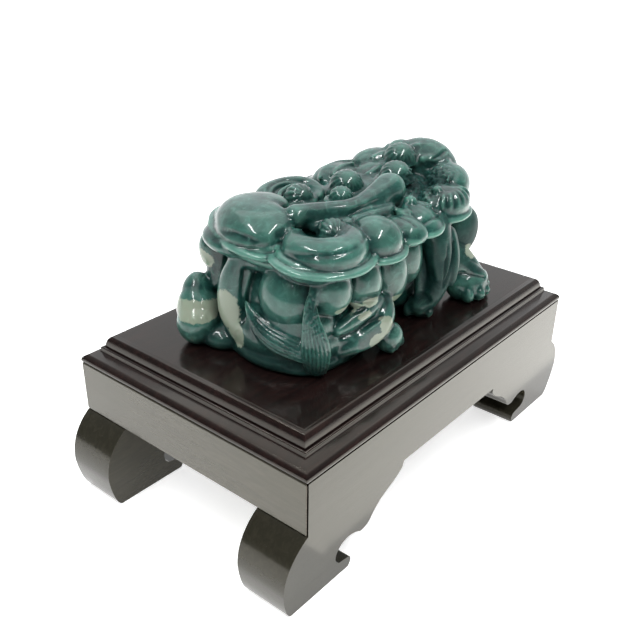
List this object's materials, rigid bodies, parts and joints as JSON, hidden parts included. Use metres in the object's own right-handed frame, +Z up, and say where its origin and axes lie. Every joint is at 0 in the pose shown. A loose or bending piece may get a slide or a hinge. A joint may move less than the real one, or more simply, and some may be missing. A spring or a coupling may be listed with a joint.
{
  "type": "jade carving on stand",
  "caption": "Green jade pixiu under a canopy of cloud lobes and a ruyi head, resting on a dark lacquered wooden stand with scroll feet.",
  "frame": {"origin": "centre of the stand's footprint, on the surface it stands on", "axes": "+Z up; +X along the stand's length, towards the animal's head; +Y towards the animal's left side"},
  "size_m": [0.12, 0.071, 0.0773],
  "materials": {
    "jade": "polished mottled green jade with cream patches",
    "board": "near-black glossy lacquer over red-brown hardwood",
    "rail": "near-black glossy lacquer",
    "apron": "near-black glossy lacquer"
  },
  "bodies": {
    "root": {"jade_pixiu": "jade", "stand_top": "board", "side_rail_right": "rail", "side_rail_left": "rail", "end_apron_rear": "apron", "end_apron_front": "apron"}
  },
  "joints": []
}
